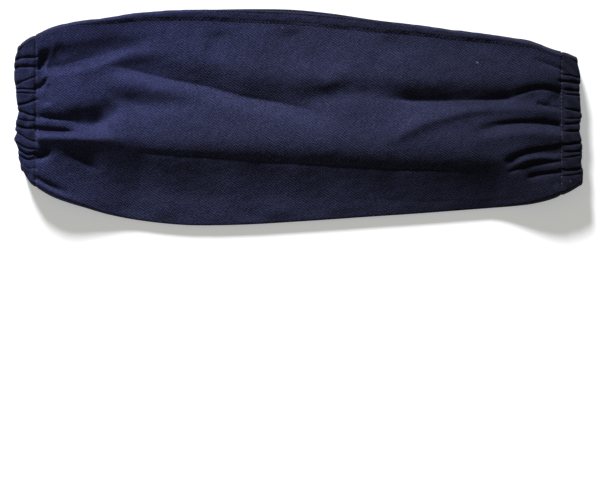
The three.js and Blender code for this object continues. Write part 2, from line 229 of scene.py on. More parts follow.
# The folds: name, kind, three places along, three places across, rise, half widths up and down,
# fades in and out.
FOLD_ROWS = (
    ("crown", ROUND, (0.026, 0.414, 0.961), (0.690, 0.600, 0.590), 0.16, 0.150, 0.086, 0.05, 0.10),
    ("crown fall", ROUND, (0.168, 0.503, 0.915), (0.681, 0.734, 0.808), -0.10, 0.058, 0.092, 0.15, 0.16),
    ("crease line", CREASE, (0.203, 0.520, 0.880), (0.669, 0.732, 0.806), -0.16, 0.013, 0.014, 0.10, 0.24),
    ("long valley", ROUND, (0.146, 0.362, 0.594), (0.219, 0.374, 0.509), -0.74, 0.078, 0.052, 0.15, 0.25),
    ("long crisp", CREASE, (0.150, 0.362, 0.582), (0.235, 0.376, 0.500), -0.20, 0.017, 0.015, 0.20, 0.30),
    ("bicep ridge", ROUND, (0.141, 0.273, 0.450), (0.313, 0.385, 0.481), 0.20, 0.046, 0.058, 0.20, 0.40),
    ("bicep valley", ROUND, (0.080, 0.148, 0.192), (0.536, 0.530, 0.440), -0.56, 0.060, 0.030, 0.30, 0.25),
    ("ridge shade", ROUND, (0.155, 0.255, 0.375), (0.440, 0.432, 0.448), -0.44, 0.052, 0.046, 0.35, 0.40),
    ("upper pit", CREASE, (0.060, 0.047, 0.044), (0.120, 0.185, 0.243), -0.80, 0.018, 0.018, 0.40, 0.03),
    ("upper shade", ROUND, (0.066, 0.080, 0.092), (0.120, 0.150, 0.200), -0.16, 0.030, 0.040, 0.30, 0.40),
    ("upper pleat", ROUND, (0.045, 0.132, 0.270), (0.225, 0.190, 0.120), -0.50, 0.069, 0.030, 0.05, 0.35),
    ("upper ridge", ROUND, (0.100, 0.180, 0.290), (0.275, 0.215, 0.180), 0.22, 0.034, 0.046, 0.30, 0.50),
    ("bicep puff", ROUND, (0.040, 0.097, 0.190), (0.460, 0.440, 0.370), 0.50, 0.110, 0.070, 0.20, 0.50),
    ("puff crease", CREASE, (0.034, 0.048, 0.063), (0.350, 0.346, 0.276), -0.46, 0.014, 0.014, 0.05, 0.35),
    ("puff side", ROUND, (0.062, 0.058, 0.062), (0.325, 0.400, 0.475), -0.34, 0.020, 0.020, 0.25, 0.25),
    ("flap edge", CREASE, (0.053, 0.1235, 0.200), (0.243, 0.237, 0.183), -0.44, 0.036, 0.015, 0.08, 0.45),
    ("bicep line", CREASE, (0.034, 0.075, 0.125), (0.541, 0.542, 0.535), -0.34, 0.030, 0.014, 0.03, 0.45),
    ("bicep pleat", CREASE, (0.034, 0.070, 0.112), (0.629, 0.612, 0.598), -0.52, 0.012, 0.010, 0.03, 0.35),
    ("cross hollow", ROUND, (0.120, 0.150, 0.180), (0.560, 0.552, 0.540), -0.36, 0.060, 0.030, 0.45, 0.45),
    ("low ridge", ROUND, (0.034, 0.115, 0.238), (0.680, 0.640, 0.605), 0.44, 0.026, 0.026, 0.10, 0.50),
    ("lower pit", CREASE, (0.034, 0.048, 0.064), (0.792, 0.776, 0.710), -0.96, 0.018, 0.018, 0.05, 0.30),
    ("lower pleat", CREASE, (0.085, 0.112, 0.155), (0.700, 0.752, 0.800), -0.44, 0.030, 0.016, 0.25, 0.35),
    ("bicep flap", CREASE, (0.034, 0.062, 0.112), (0.945, 0.938, 0.962), -0.58, 0.020, 0.014, 0.20, 0.45),
    ("middle ridge", ROUND, (0.526, 0.566, 0.606), (0.372, 0.312, 0.224), 0.22, 0.054, 0.036, 0.30, 0.45),
    ("plateau dip", ROUND, (0.488, 0.500, 0.530), (0.080, 0.180, 0.300), -0.24, 0.060, 0.060, 0.25, 0.30),
    ("near plateau dip", ROUND, (0.352, 0.350, 0.340), (0.090, 0.170, 0.250), -0.18, 0.046, 0.046, 0.30, 0.40),
    ("far plateau dip", ROUND, (0.662, 0.668, 0.680), (0.070, 0.120, 0.200), -0.19, 0.046, 0.046, 0.30, 0.40),
    ("middle dip", ROUND, (0.490, 0.575, 0.690), (0.432, 0.388, 0.352), -0.34, 0.048, 0.044, 0.35, 0.35),
    ("wrist valley", ROUND, (0.591, 0.767, 0.988), (0.405, 0.375, 0.345), -0.66, 0.056, 0.085, 0.30, 0.05),
    ("wrist crisp", CREASE, (0.640, 0.780, 0.890), (0.398, 0.388, 0.345), -0.46, 0.030, 0.016, 0.20, 0.12),
    ("wrist hook", CREASE, (0.872, 0.9225, 0.968), (0.356, 0.282, 0.300), -0.34, 0.016, 0.012, 0.20, 0.02),
    ("wrist puff", ROUND, (0.912, 0.925, 0.944), (0.350, 0.345, 0.350), 0.24, 0.024, 0.024, 0.30, 0.30),
    ("wrist nick", CREASE, (0.908, 0.938, 0.968), (0.372, 0.386, 0.398), -0.22, 0.014, 0.012, 0.35, 0.02),
    ("high wrist crease", CREASE, (0.905, 0.935, 0.968), (0.105, 0.120, 0.140), -0.24, 0.018, 0.012, 0.35, 0.02),
    ("wrist diagonal", ROUND, (0.653, 0.723, 0.855), (0.643, 0.512, 0.429), 0.40, 0.050, 0.034, 0.35, 0.35),
    ("wrist ridge", ROUND, (0.750, 0.855, 0.970), (0.476, 0.425, 0.425), 0.24, 0.035, 0.024, 0.25, 0.10),
    ("wrist pleat", ROUND, (0.800, 0.895, 0.972), (0.585, 0.508, 0.548), -0.42, 0.024, 0.030, 0.30, 0.02),
    ("wrist pleat line", CREASE, (0.845, 0.905, 0.972), (0.530, 0.506, 0.538), -0.20, 0.014, 0.012, 0.35, 0.02),
    ("wrist low ridge", ROUND, (0.802, 0.891, 0.975), (0.607, 0.574, 0.590), 0.18, 0.029, 0.029, 0.25, 0.10),
    ("low wrist pleat", ROUND, (0.862, 0.908, 0.970), (0.762, 0.704, 0.700), -0.34, 0.022, 0.020, 0.20, 0.02),
    ("low wrist line", CREASE, (0.862, 0.910, 0.970), (0.748, 0.682, 0.665), -0.20, 0.012, 0.012, 0.25, 0.02),
    ("low wrist ridge", ROUND, (0.880, 0.910, 0.950), (0.770, 0.722, 0.715), 0.26, 0.018, 0.016, 0.30, 0.30),
    ("third wrist pleat", CREASE, (0.866, 0.910, 0.970), (0.810, 0.762, 0.758), -0.34, 0.014, 0.012, 0.25, 0.02),
    ("last wrist pleat", CREASE, (0.898, 0.930, 0.972), (0.846, 0.820, 0.842), -0.34, 0.014, 0.012, 0.25, 0.02),
    ("last wrist hollow", ROUND, (0.940, 0.955, 0.965), (0.870, 0.890, 0.910), -0.14, 0.034, 0.034, 0.30, 0.30),
)
FOLDS = tuple(Fold(*row) for row in FOLD_ROWS)

# The gathers of each hem on the upper side: share across at the stitch line and at the mouth,
# depth as a share of the gather depth, half width as a share of the pitch, and how far the groove
# runs on into the body as a share of the settle length.
GATHERS = {
    Side.BICEP: tuple(Gather(*row) for row in (
        (0.130, 0.084, 0.70, 0.14, 0.06),
        (0.196, 0.152, 1.00, 0.22, 0.12),
        (0.262, 0.300, 0.40, 0.13, 0.04),
        (0.352, 0.338, 0.55, 0.12, 0.05),
        (0.380, 0.372, 0.35, 0.11, 0.04),
        (0.424, 0.482, 0.80, 0.15, 0.06),
        (0.536, 0.528, 0.80, 0.16, 0.20),
        (0.570, 0.600, 0.35, 0.12, 0.04),
        (0.620, 0.662, 1.00, 0.17, 0.22),
        (0.718, 0.712, 0.50, 0.14, 0.05),
        (0.770, 0.800, 0.50, 0.12, 0.05),
        (0.800, 0.872, 1.00, 0.20, 0.12),
        (0.830, 0.920, 0.85, 0.15, 0.06),
        (0.900, 0.975, 0.35, 0.12, 0.04),
    )),
    Side.WRIST: tuple(Gather(*row) for row in (
        (0.138, 0.142, 0.50, 0.12, 0.04),
        (0.190, 0.188, 1.00, 0.18, 0.05),
        (0.254, 0.254, 0.90, 0.20, 0.16),
        (0.284, 0.292, 0.70, 0.13, 0.08),
        (0.388, 0.426, 0.80, 0.14, 0.10),
        (0.466, 0.484, 0.40, 0.12, 0.04),
        (0.512, 0.524, 0.90, 0.17, 0.14),
        (0.556, 0.594, 0.80, 0.14, 0.08),
        (0.664, 0.690, 1.00, 0.18, 0.20),
        (0.712, 0.762, 0.80, 0.14, 0.10),
        (0.758, 0.794, 0.55, 0.13, 0.06),
        (0.850, 0.912, 0.95, 0.16, 0.14),
        (0.890, 0.950, 0.50, 0.13, 0.05),
    )),
}

# How far the mouth's fold stays behind the sleeve's box: share across, millimetres.
MOUTHS = {
    Side.BICEP: (
        (0.00, 2.8), (0.08, 0.6), (0.20, 0.0), (0.30, 1.2), (0.40, 1.9), (0.48, 2.8), (0.55, 3.4),
        (0.63, 1.5), (0.69, 1.0), (0.72, 2.2), (0.78, 0.3), (0.83, 2.6), (0.93, 3.6), (1.00, 5.4),
    ),
    Side.WRIST: (
        (0.00, 4.4), (0.14, 2.0), (0.20, 2.7), (0.27, 2.5), (0.40, 1.9), (0.46, 1.0), (0.49, 1.8),
        (0.61, 2.5), (0.67, 1.1), (0.80, 0.6), (0.86, 1.5), (0.94, 0.0), (1.00, 0.3),
    ),
}

# Where the seam's inner edge lies, seen from above: share of the length, then the distance from
# the outline as a share of the seam's width.
SEAM_COURSE = (
    (0.03, 0.06),
    (0.08, 0.14),
    (0.15, 0.42),
    (0.22, 0.64),
    (0.33, 0.87),
    (0.43, 1.16),
    (0.54, 1.22),
    (0.64, 1.00),
    (0.75, 0.78),
    (0.86, 0.62),
    (0.97, 0.45),
)


# How the folds' lines wander, how the laid cloth swells between them, how the hems' face is
# mottled between its grooves, and how the seam's strip swells along its stitches.
WANDER_ALONG = Swell(1.6, 90, 11)
WANDER_ACROSS = Swell(0.6, 45, 12)
UNEVEN = (Swell(0.42, 60, 3, (1.6, 1.0)), Swell(0.16, 26, 4), Swell(0.05, 9, 5))
HEM_MOTTLE = Swell(0.13, 8, 17, (0.8, 1.0))
SEAM_SWELLS = (Swell(0.12, 11, 31, (1.0, 2.0)), Swell(0.08, 30, 32))

# The places round a hem's rings: on the upper layer, on each edge, on the lower layer.
HEM_SPOTS = (250, 22, 120)

# How far past the stitch line the hem's row lies, and how far before it the seam's rows end.
STITCH_PAST_LINE = 0.1
SEAM_ROW_GAP = 1.5
SEAM_ROW_STEPS = 600

# How steep a crease's flank is and how blunt its line, for the folds and for the hems' grooves.
CREASE_FLANK = (2.2, 0.3)
GROOVE_FLANK = (3.4, 0.15)


def smooth_step(start: float, stop: float, at: Array) -> Array:
    """Eases from 0 to 1 between two places, read at each place."""
    t = np.clip((at - start) / (stop - start), 0.0, 1.0)
    return t * t * (3.0 - 2.0 * t)


def read_table(rows: tuple, column: int, at: Array) -> Array:
    """Reads one column of a table, with smooth slopes through its rows.

    Args:
        rows: The table, whose first column rises.
        column: The column to read.
        at: The places to read it at.

    Returns:
        The column's value at each place.
    """
    table = np.array(rows)
    key, value = table[:, 0], table[:, column]
    slopes = np.empty_like(value)
    slopes[1:-1] = (value[2:] - value[:-2]) / (key[2:] - key[:-2])
    slopes[0] = (value[1] - value[0]) / (key[1] - key[0])
    slopes[-1] = (value[-1] - value[-2]) / (key[-1] - key[-2])
    i = np.clip(np.searchsorted(key, at), 1, len(key) - 1)
    span = key[i] - key[i - 1]
    t = np.clip((at - key[i - 1]) / span, 0.0, 1.0)
    start = value[i - 1] * (1 + 2 * t) * (1 - t) ** 2 + slopes[i - 1] * span * t * (1 - t) ** 2
    end = value[i] * t * t * (3 - 2 * t) - slopes[i] * span * t * t * (1 - t)
    return start + end


def ripple(x: Array, y: Array, wavelength: float, seed: int) -> Array:
    """Smooth uneven waves of about one wavelength, from a sum of seeded plane waves.

    Args:
        x: Places along the sleeve in millimetres.
        y: Places across it in millimetres.
        wavelength: The waves' mean length in millimetres.
        seed: The seed of their directions and phases.

    Returns:
        Heights of about -1 to 1.
    """
    draws = np.random.default_rng(seed)
    waves, spread = 9, (0.7, 1.5)
    total = np.zeros(np.broadcast(x, y).shape)
    for _ in range(waves):
        heading, phase = draws.uniform(0, 2 * math.pi, 2)
        turns = 2 * math.pi / (wavelength * draws.uniform(*spread))
        total = total + np.sin(turns * (x * math.cos(heading) + y * math.sin(heading)) + phase)
    return total / math.sqrt(waves)


def flank(distance: Array, steep: float, blunt: float) -> Array:
    """The share of a crease's depth at each distance from its line, in half widths."""
    return np.exp(blunt - np.sqrt(steep * distance * distance + blunt * blunt))


def unit(vectors: Array) -> Array:
    """Scales every vector to a length of 1."""
    return vectors / np.linalg.norm(vectors, axis=-1, keepdims=True)


@dataclass
class LaidSleeve:
    """The laid cloth as a surface: where every ring of the sleeve runs, in millimetres.

    A roll is half the height that the cloth turns over at a long edge, and its width is squashed.
    The folds run on into the hem for the carry, no deeper there than the gathers, and fall freely
    by the free depth once they are clear of it. The two clears are the shares of the way across
    between which the folds fade out towards the edges. The under values shape the lower layer's
    gathers, which the photograph doesn't show.
    """

    length: float
    flat_width: float
    hem_width: float = 17.5
    body_roll: float = 4.2
    near_roll: float = 2.5
    hem_roll: float = 9.0
    squash: float = 0.45
    crown_rise: float = 12.0
    fold_depth: float = 7.5
    gather_depth: float = 2.4
    gather_pitch: float = 10.5
    hem_clear: float = 3.5
    hem_carry: float = 7.0
    mouth_wave: float = 0.7
    settle_length: float = 85.0
    wrist_settle: float = 62.0
    settle_overrun: float = 0.25
    mottle_overrun: float = 1 / 6
    stitch_dip: float = 0.7
    stitch_dip_width: float = 1.3
    cloth: float = 1.0
    fold_steps: int = 16
    fold_reach: float = 3.2
    fold_softness: float = 1.2
    free_depth: float = 24.0
    far_clear: tuple[float, float] = (0.03, 0.13)
    near_clear: tuple[float, float] = (0.95, 1.0)
    under_settle: float = 0.3
    under_drift: float = 0.016
    under_drift_turn: float = 11.0
    under_sharpness: int = 4
    paths: dict[str, Array] = field(default_factory=dict)

    def __post_init__(self) -> None:
        """Works out where the stitch lines and the folds run."""
        self.stitch_line = self.length / 2 - self.hem_width
        self.paths = {fold.name: self.fold_path(fold) for fold in FOLDS}

    def section(self, x: Array) -> tuple[Array, ...]:
        """The flat section at each X.

        Args:
            x: Places along the sleeve.

        Returns:
            The far edge, the near edge, half the height that each of them rolls over, and how far
            the cloth has settled there from the hem's round section to the body's flat one.
        """
        along = x / self.length + 0.5
        far = read_table(OUTLINE, 1, along) * self.flat_width
        near = -read_table(OUTLINE, 2, along) * self.flat_width
        settle = np.where(x > 0, self.wrist_settle, self.settle_length)
        end = self.stitch_line + self.hem_width * self.settle_overrun
        settled = 1 - smooth_step(self.stitch_line - settle, end, np.abs(x))
        far_roll = self.hem_roll + (self.body_roll - self.hem_roll) * settled
        near_roll = self.hem_roll + (self.near_roll - self.hem_roll) * settled
        return far, near, far_roll, near_roll, settled

    def roll_centres(self, x: Array) -> tuple[Array, ...]:
        """The same section, with the centres of the two rolled edges in place of the edges."""
        far, near, far_roll, near_roll, settled = self.section(x)
        far, near = far - self.squash * far_roll, near + self.squash * near_roll
        return far, near, far_roll, near_roll, settled

    def fold_path(self, fold: Fold) -> Array:
        """The fold's line as short steps.

        Args:
            fold: The fold.

        Returns:
            Its points, seen from above.
        """
        x = (np.array(fold.along) - 0.5) * self.length
        far, near, *_ = self.section(x)
        y = far + (near - far) * np.array(fold.across)
        ends, middle = np.stack([x, y], 1)[[0, 2]], np.array([x[1], y[1]])
        handle = 2 * middle - ends.mean(axis=0)
        t = np.linspace(0, 1, self.fold_steps + 1)[:, None]
        return (1 - t) ** 2 * ends[0] + 2 * t * (1 - t) * handle + t * t * ends[1]

    def fold_rise(self, fold: Fold, x: Array, y: Array) -> Array:
        """How far one fold lifts the cloth.

        Args:
            fold: The fold.
            x: Places along the sleeve.
            y: Places across it.

        Returns:
            The lift at each place.
        """
        path = self.paths[fold.name]
        up, down = fold.width_up * self.flat_width, fold.width_down * self.flat_width
        reach = self.fold_reach * max(up, down)
        low, high = path.min(axis=0) - reach, path.max(axis=0) + reach
        close = (x > low[0]) & (x < high[0]) & (y > low[1]) & (y < high[1])
        lift = np.zeros(x.shape)
        if not close.any():
            return lift
        px, py = x[close], y[close]
        nearest = np.full(px.shape, np.inf)
        offset = np.zeros(px.shape)
        share = np.zeros(px.shape)
        for i, step in enumerate(np.diff(path, axis=0)):
            from_x, from_y = px - path[i, 0], py - path[i, 1]
            t = np.clip((from_x * step[0] + from_y * step[1]) / step.dot(step), 0, 1)
            off_x, off_y = from_x - t * step[0], from_y - t * step[1]
            distance = np.hypot(off_x, off_y)
            nearer = distance < nearest
            nearest = np.where(nearer, distance, nearest)
            offset = np.where(nearer, off_y, offset)
            share = np.where(nearer, (i + t) / self.fold_steps, share)
        blend = smooth_step(-self.fold_softness, self.fold_softness, offset)
        q = nearest / (down + (up - down) * blend)
        fade = smooth_step(0, fold.fade_in, share) * (1 - smooth_step(1 - fold.fade_out, 1, share))
        shape = np.exp(-q * q) if fold.kind is FoldKind.ROUND else flank(q, *CREASE_FLANK)
        lift[close] = fold.rise * self.fold_depth * fade * shape
        return lift

    def upper_rise(self, x: Array, y: Array) -> tuple[Array, Array]:
        """How far the upper layer lies above its two rolled edges.

        Args:
            x: Places along the sleeve.
            y: Places across it.

        Returns:
            The height over the rolls' tops without the folds, and the folds' own height. The folds
            run on into the hem, where the elastic holds them shallow.
        """
        far, near, _, _, settled = self.roll_centres(x)
        across = (far - y) / (far - near)
        from_stitch = self.stitch_line - np.abs(x)
        clear = smooth_step(-self.hem_carry, self.hem_clear, from_stitch)
        clear = clear * smooth_step(*self.far_clear, across)
        clear = clear * (1 - smooth_step(*self.near_clear, across))
        freed = smooth_step(0, 2 * self.hem_clear, from_stitch)
        shallow = self.gather_depth + self.free_depth * freed
        warp_x = x + WANDER_ALONG.at(x, y)
        warp_y = y + WANDER_ACROSS.at(x, y)
        folded = sum((self.fold_rise(fold, warp_x, warp_y) for fold in FOLDS), np.zeros(x.shape))
        fall = read_table(FALL_LINE, 1, x / self.length + 0.5)
        below = FALL_AT + (across - fall) * (1 - FALL_AT) / (1 - fall)
        lie_at = np.where(across < fall, across * FALL_AT / fall, below)
        lying = read_table(LIE, 1, lie_at) * self.crown_rise * settled
        uneven = sum(swell.at(x, y) for swell in UNEVEN)
        return lying, np.maximum((folded + uneven) * clear, -shallow)

    def gathered(self, x: Array, across: Array, layer: Layer) -> Array:
        """How deep the gathers press into the cloth.

        Args:
            x: Places along the sleeve.
            across: Shares of the way across.
            layer: The stretch of cloth.

        Returns:
            The depth at each place.
        """
        far, near, *_ = self.section(x)
        from_stitch = self.stitch_line - np.abs(x)
        to_mouth = np.clip(-from_stitch / self.hem_width, 0, 1)
        width = far - near
        if layer is Layer.LOWER:
            count = np.round(width / self.gather_pitch) - 1
            fade = 1 - smooth_step(0, self.settle_length * self.under_settle, from_stitch)
            drift = self.under_drift * np.sin(self.under_drift_turn * across + np.sign(x))
            waves = np.sin(math.pi * count * (across + drift))
            return self.gather_depth * fade * waves ** self.under_sharpness
        if layer is not Layer.UPPER:
            return np.zeros(np.broadcast(x, across).shape)
        pressed = np.zeros(np.broadcast(x, across).shape)
        for side in Side:
            here = np.sign(x) == side.value
            for gather in GATHERS[side]:
                centre = gather.at_stitch + (gather.at_mouth - gather.at_stitch) * to_mouth
                distance = (across - centre) * width / (gather.width * self.gather_pitch)
                fade = 1 - smooth_step(0, gather.reach * self.settle_length, from_stitch)
                pressed = pressed + here * gather.depth * fade * flank(distance, *GROOVE_FLANK)
        mottled = HEM_MOTTLE.height + HEM_MOTTLE.at(x, across * width)
        overrun = self.hem_width * self.mottle_overrun
        pressed = pressed + mottled * (1 - smooth_step(-overrun, self.hem_clear, from_stitch))
        return self.gather_depth * np.minimum(1.0, pressed)

    def mouth(self, side: Side, spots: "RingSpots") -> Array:
        """How far a mouth's fold reaches at each place round a ring.

        Args:
            side: Which hem.
            spots: The places round the ring.

        Returns:
            The distance from the sleeve's middle at each place.
        """
        across = spots.across()
        pressed = np.zeros(len(spots))
        for layer in (Layer.UPPER, Layer.LOWER):
            pick = spots.layer == layer.value
            at_mouth = np.full(pick.sum(), side.value * self.length / 2)
            pressed[pick] = self.gathered(at_mouth, across[pick], layer) / self.gather_depth
        return self.length / 2 - read_table(MOUTHS[side], 1, across) - self.mouth_wave * pressed

    def rings(self, x: Array, spots: "RingSpots", gathers: bool = True) -> Array:
        """The outer face of the cloth as a grid of points.

        Args:
            x: Where each ring lies along the sleeve.
            spots: The places round each ring.
            gathers: Whether the gathers press in and the folds run through.

        Returns:
            Points of shape rings, spots, 3.
        """
        station = x[:, None]
        far, near, far_roll, near_roll, _ = self.roll_centres(station)
        y = np.empty((len(x), len(spots)))
        z = np.empty_like(y)
        depth = np.zeros_like(y)
        for layer in Layer:
            pick = spots.layer == layer.value
            value = spots.value[pick][None, :]
            if layer in (Layer.UPPER, Layer.LOWER):
                y[:, pick] = far + (near - far) * value
                pressed = self.gathered(station, value, layer) if gathers else 0.0
                level = 0.0
                if layer is Layer.UPPER:
                    wide_x = np.broadcast_to(station, y[:, pick].shape)
                    lying, folded = self.upper_rise(wide_x, y[:, pick])
                    folded = folded if gathers else 0.0
                    pressed = pressed * (1 - np.clip(-folded / self.gather_depth, 0, 1))
                    level = 2 * (far_roll + (near_roll - far_roll) * value) + lying + folded
                z[:, pick] = level
                depth[:, pick] = pressed
            else:
                at_far = layer is Layer.FAR_EDGE
                centre, roll, edge = (far, far_roll, 1) if at_far else (near, near_roll, -1)
                y[:, pick] = centre + edge * self.squash * roll * np.cos(value)
                z[:, pick] = roll * (1 + np.sin(value))
        from_row = (np.abs(station) - self.stitch_line) / self.stitch_dip_width
        dip = self.stitch_dip * np.exp(-from_row * from_row)
        loops = np.stack([np.broadcast_to(station, y.shape), y, z], axis=-1)
        return press_in(loops, depth + (dip if gathers else 0.0))


@dataclass
class RingSpots:
    """The places round a ring: how many lie on each stretch of cloth."""

    upper: int
    edge: int
    lower: int

    def __post_init__(self) -> None:
        """Lays the places out, each with its layer and its share or angle."""
        turn = np.pi * np.arange(1, self.edge + 1) / (self.edge + 1)
        parts = (
            (Layer.UPPER, np.linspace(0, 1, self.upper)),
            (Layer.NEAR_EDGE, np.pi / 2 - turn),
            (Layer.LOWER, np.linspace(1, 0, self.lower)),
            (Layer.FAR_EDGE, turn - np.pi / 2),
        )
        self.layer = np.concatenate([np.full(len(values), layer.value) for layer, values in parts])
        self.value = np.concatenate([values for _, values in parts])

    def __len__(self) -> int:
        """How many places the ring has."""
        return len(self.layer)

    def across(self) -> Array:
        """The share of the way across at each place, 0 on the far edge and 1 on the near edge."""
        return np.select(
            [self.layer == Layer.NEAR_EDGE.value, self.layer == Layer.FAR_EDGE.value],
            [1.0, 0.0],
            default=self.value,
        )


def press_in(loops: Array, depth: Array) -> Array:
    """Moves closed section loops inward along their normals in the YZ plane.

    Args:
        loops: Points of shape rings, spots, 3.
        depth: How far each point moves.

    Returns:
        The moved points.
    """
    along = unit((np.roll(loops, -1, axis=1) - np.roll(loops, 1, axis=1))[..., 1:])
    moved = loops.copy()
    moved[..., 1] -= along[..., 1] * depth
    moved[..., 2] += along[..., 0] * depth
    return moved


def toward_middle(loop: Array, drop: float, inset: float) -> Array:
    """Shrinks a section loop, so that it nests inside itself with round ends.

    Args:
        loop: The loop's points.
        drop: How far its top and bottom move in.
        inset: How far its two ends move in.

    Returns:
        The smaller loop.
    """
    low, high = loop.min(axis=0), loop.max(axis=0)
    middle = (low + high) / 2
    half = (high - low) / 2
    moved = loop.copy()
    moved[:, 1] = middle[1] + (loop[:, 1] - middle[1]) * (1 - inset / half[1])
    moved[:, 2] = middle[2] + (loop[:, 2] - middle[2]) * (1 - drop / half[2])
    return moved


def along_hem(loop: Array, side: Side, start: float, reach: Array) -> Array:
    """Moves a hem's section loop to where it starts and how far it reaches on at each place."""
    moved = loop.copy()
    moved[:, 0] = side.value * (start + reach)
    return moved


def laid_flat(rings: Array, upper: int) -> Array:
    """Where each point of a tube of cloth lies once the cloth is spread flat.

    Args:
        rings: Points of shape rings, spots, 3, which start with the upper layer from its far edge.
        upper: How many spots the upper layer has.

    Returns:
        Points of the same shape: X, the way round from the upper layer's middle line, 0. The upper
        layer's own folds are left out of the way, so that the weave runs straight over them.
    """
    steps = np.linalg.norm(np.diff(rings[..., 1:], axis=1), axis=-1)
    steps[:, :upper - 1] = -np.diff(rings[:, :upper, 1], axis=1)
    around = np.concatenate([np.zeros((len(rings), 1)), np.cumsum(steps, axis=1)], axis=1)
    flat = np.zeros_like(rings)
    flat[..., 0] = rings[..., 0]
    for i, ring in enumerate(rings):
        middle = np.interp(0.0, -ring[:upper, 1], around[i, :upper])
        flat[i, :, 1] = middle - around[i]
    return flat


def ring_faces(rings: int, around: int, closed: bool) -> Array:
    """The quads of a skin over rings.

    Args:
        rings: How many rings there are.
        around: How many points each has.
        closed: Whether the last ring joins the first.

    Returns:
        Four point numbers for each quad.
    """
    i = np.arange(rings if closed else rings - 1)[:, None]
    j = np.arange(around)[None, :]
    onward, beside = (i + 1) % rings, (j + 1) % around
    corners = (i * around + j, i * around + beside, onward * around + beside, onward * around + j)
    return np.stack(corners, axis=-1).reshape(-1, 4)


def new_mesh(
    name: str,
    points: Array,
    faces: Any,
    material: bpy.types.Material,
    smooth: bool = True,
    flat: Array | None = None,
) -> bpy.types.Object:
    """Makes a mesh object from points in millimetres.

    Args:
        name: The piece's name.
        points: Its points.
        faces: Its faces, as point numbers.
        material: Its material.
        smooth: Whether its faces shade smoothly.
        flat: Where each point lies on the flat cloth, which the twill's pattern follows.

    Returns:
        The new object, linked to the scene.
    """
    mesh = bpy.data.meshes.new(name)
    corners = [[int(corner) for corner in face] for face in faces]
    mesh.from_pydata((points.reshape(-1, 3) * MM).tolist(), [], corners)
    mesh.polygons.foreach_set("use_smooth", np.full(len(mesh.polygons), smooth))
    mesh.materials.append(material)
    mesh.update()
    if flat is not None:
        layer = mesh.attributes.new(CLOTH_PLACE, "FLOAT_VECTOR", "POINT")
        layer.data.foreach_set("vector", (flat.reshape(-1) * MM).astype(np.float32))
    piece = bpy.data.objects.new(name, mesh)
    bpy.context.scene.collection.objects.link(piece)
    return piece


def linear_colour(hex_code: str) -> tuple[float, float, float, float]:
    """Turns an sRGB hex colour into Blender's linear colour."""
    channels = [int(hex_code[i:i + 2], 16) / 255 for i in (1, 3, 5)]
    linear = [c / 12.92 if c <= 0.04045 else ((c + 0.055) / 1.055) ** 2.4 for c in channels]
    return (*linear, 1.0)


def add_node(
    tree: Tree, kind: str, settings: dict[str, Any], inputs: dict[Any, Any],
) -> bpy.types.Node:
    """Adds a node with its settings and links.

    Args:
        tree: The node tree.
        kind: The node's type.
        settings: Its properties by name.
        inputs: Its inputs by name or number: another node's output, or a value.

    Returns:
        The new node.
    """
    node = tree.nodes.new(kind)
    for name, value in settings.items():
        setattr(node, name, value)
    for name, value in inputs.items():
        if isinstance(value, Socket):
            tree.links.new(value, node.inputs[name])
        else:
            node.inputs[name].default_value = value
    return node


def new_material(name: str) -> tuple[bpy.types.Material, Tree]:
    """Makes a material without nodes, and gives it with its node tree."""
    material = bpy.data.materials.new(name)
    material.use_nodes = True
    material.node_tree.nodes.clear()
    return material, material.node_tree


def add_bands(
    tree: Tree, place: Socket, direction: str, period_mm: float, waviness: dict[str, float],
) -> Socket:
    """Adds bands that repeat every so many millimetres, with how they are distorted."""
    settings = {"wave_type": "BANDS", "bands_direction": direction}
    return add_node(tree, "ShaderNodeTexWave", settings, {
        "Vector": place,
        "Scale": 2 * math.pi / WAVE_TURN / (period_mm * MM),
        **waviness,
    }).outputs["Fac"]


def add_noise(
    tree: Tree, place: Socket, size_mm: float, detail: float, roughness: float,
) -> Socket:
    """Adds blotches of about so many millimetres, with how many finer layers and how strong."""
    return add_node(tree, "ShaderNodeTexNoise", {}, {
        "Vector": place, "Scale": 1 / (size_mm * MM), "Detail": detail, "Roughness": roughness,
    }).outputs["Fac"]


def add_scaled(tree: Tree, value: Socket, weight: float, rest: Any) -> Socket:
    """Adds a value, times its weight, to the rest."""
    return add_node(tree, "ShaderNodeMath", {"operation": "MULTIPLY_ADD"}, {
        0: value, 1: weight, 2: rest}).outputs["Value"]


def add_range(
    tree: Tree, value: Socket, span: Pair, result: Pair = (0.0, 1.0), kind: str = "LINEAR",
) -> Socket:
    """Maps a value from its span to the result's two ends, in a straight or a smooth way."""
    return add_node(tree, "ShaderNodeMapRange", {"interpolation_type": kind}, {
        "Value": value,
        "From Min": span[0],
        "From Max": span[1],
        "To Min": result[0],
        "To Max": result[1],
    }).outputs["Result"]


def add_mix(tree: Tree, how: str, share: Any, first: Any, second: Any) -> Socket:
    """Mixes a second colour into a first, in the way and the share that are said."""
    return add_node(tree, "ShaderNodeMix", {"data_type": "RGBA", "blend_type": how}, {
        "Factor": share, MIX_FIRST: first, MIX_SECOND: second}).outputs[MIX_RESULT]


def add_surface(tree: Tree, inputs: dict[str, Any]) -> None:
    """Adds the shader with its inputs and joins it to the output."""
    shader = add_node(tree, "ShaderNodeBsdfPrincipled", {}, inputs)
    add_node(tree, "ShaderNodeOutputMaterial", {}, {"Surface": shader.outputs["BSDF"]})


